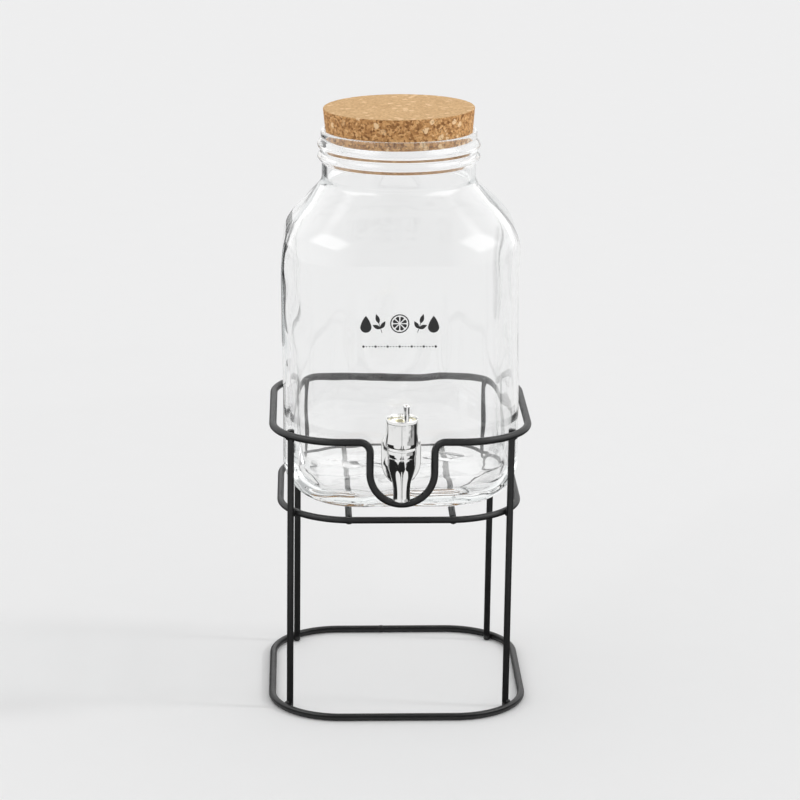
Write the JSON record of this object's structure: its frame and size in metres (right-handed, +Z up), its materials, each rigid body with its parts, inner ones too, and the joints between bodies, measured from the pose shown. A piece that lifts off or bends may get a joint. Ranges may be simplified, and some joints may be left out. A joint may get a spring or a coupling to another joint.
{
  "type": "beverage dispenser",
  "caption": "Rounded-square clear glass jar with cork stopper and quarter-turn chrome tap, standing in a black wire frame with a dip in its upper ring for the spout.",
  "frame": {"origin": "middle of the whole object's footprint, on the floor under the base ring", "axes": "+Z up; the tap faces -Y; +X is to the right of someone facing the tap"},
  "size_m": [0.1852, 0.2072, 0.4236],
  "materials": {
    "black_wire": "fine matte black powder coat on steel wire",
    "clear_glass": "clear pressed soda-lime glass with a slightly uneven inner face",
    "cork": "raw agglomerated cork",
    "chrome_plate": "chrome-plated plastic, mirror bright",
    "white_plastic": "natural white moulded plastic",
    "seal_rubber": "translucent white silicone",
    "spring_steel": "plain spring steel"
  },
  "bodies": {
    "stand": {"base_ring": "black_wire", "upper_ring": "black_wire", "shelf_ring": "black_wire", "leg_front_left": "black_wire", "leg_front_right": "black_wire", "leg_back_left": "black_wire", "leg_back_right": "black_wire", "support_rod_left": "black_wire", "support_rod_right": "black_wire"},
    "jar": {"glass_jar": "clear_glass", "tap_body": "chrome_plate", "outer_washer": "seal_rubber", "inner_washer": "seal_rubber", "lock_nut": "white_plastic", "plug_retaining_ring": "spring_steel"},
    "stopper": {"cork_stopper": "cork"},
    "valve": {"tap_knob": "chrome_plate", "valve_plug": "white_plastic", "plug_oring_lower": "seal_rubber", "plug_oring_upper": "seal_rubber"}
  },
  "joints": [
    {"name": "jar_lift", "type": "slide", "parent": "stand", "child": "jar", "axis": [0, 0, 1], "range_m": [0, 0.15]},
    {"name": "stopper_lift", "type": "slide", "parent": "jar", "child": "stopper", "axis": [0, 0, 1], "range_m": [0, 0.06]},
    {"name": "tap_turn", "type": "hinge", "parent": "jar", "child": "valve", "pos_m": [0, -0.09205, 0.2069], "axis": [0, 0, 1], "range_deg": [-16, 74]}
  ]
}
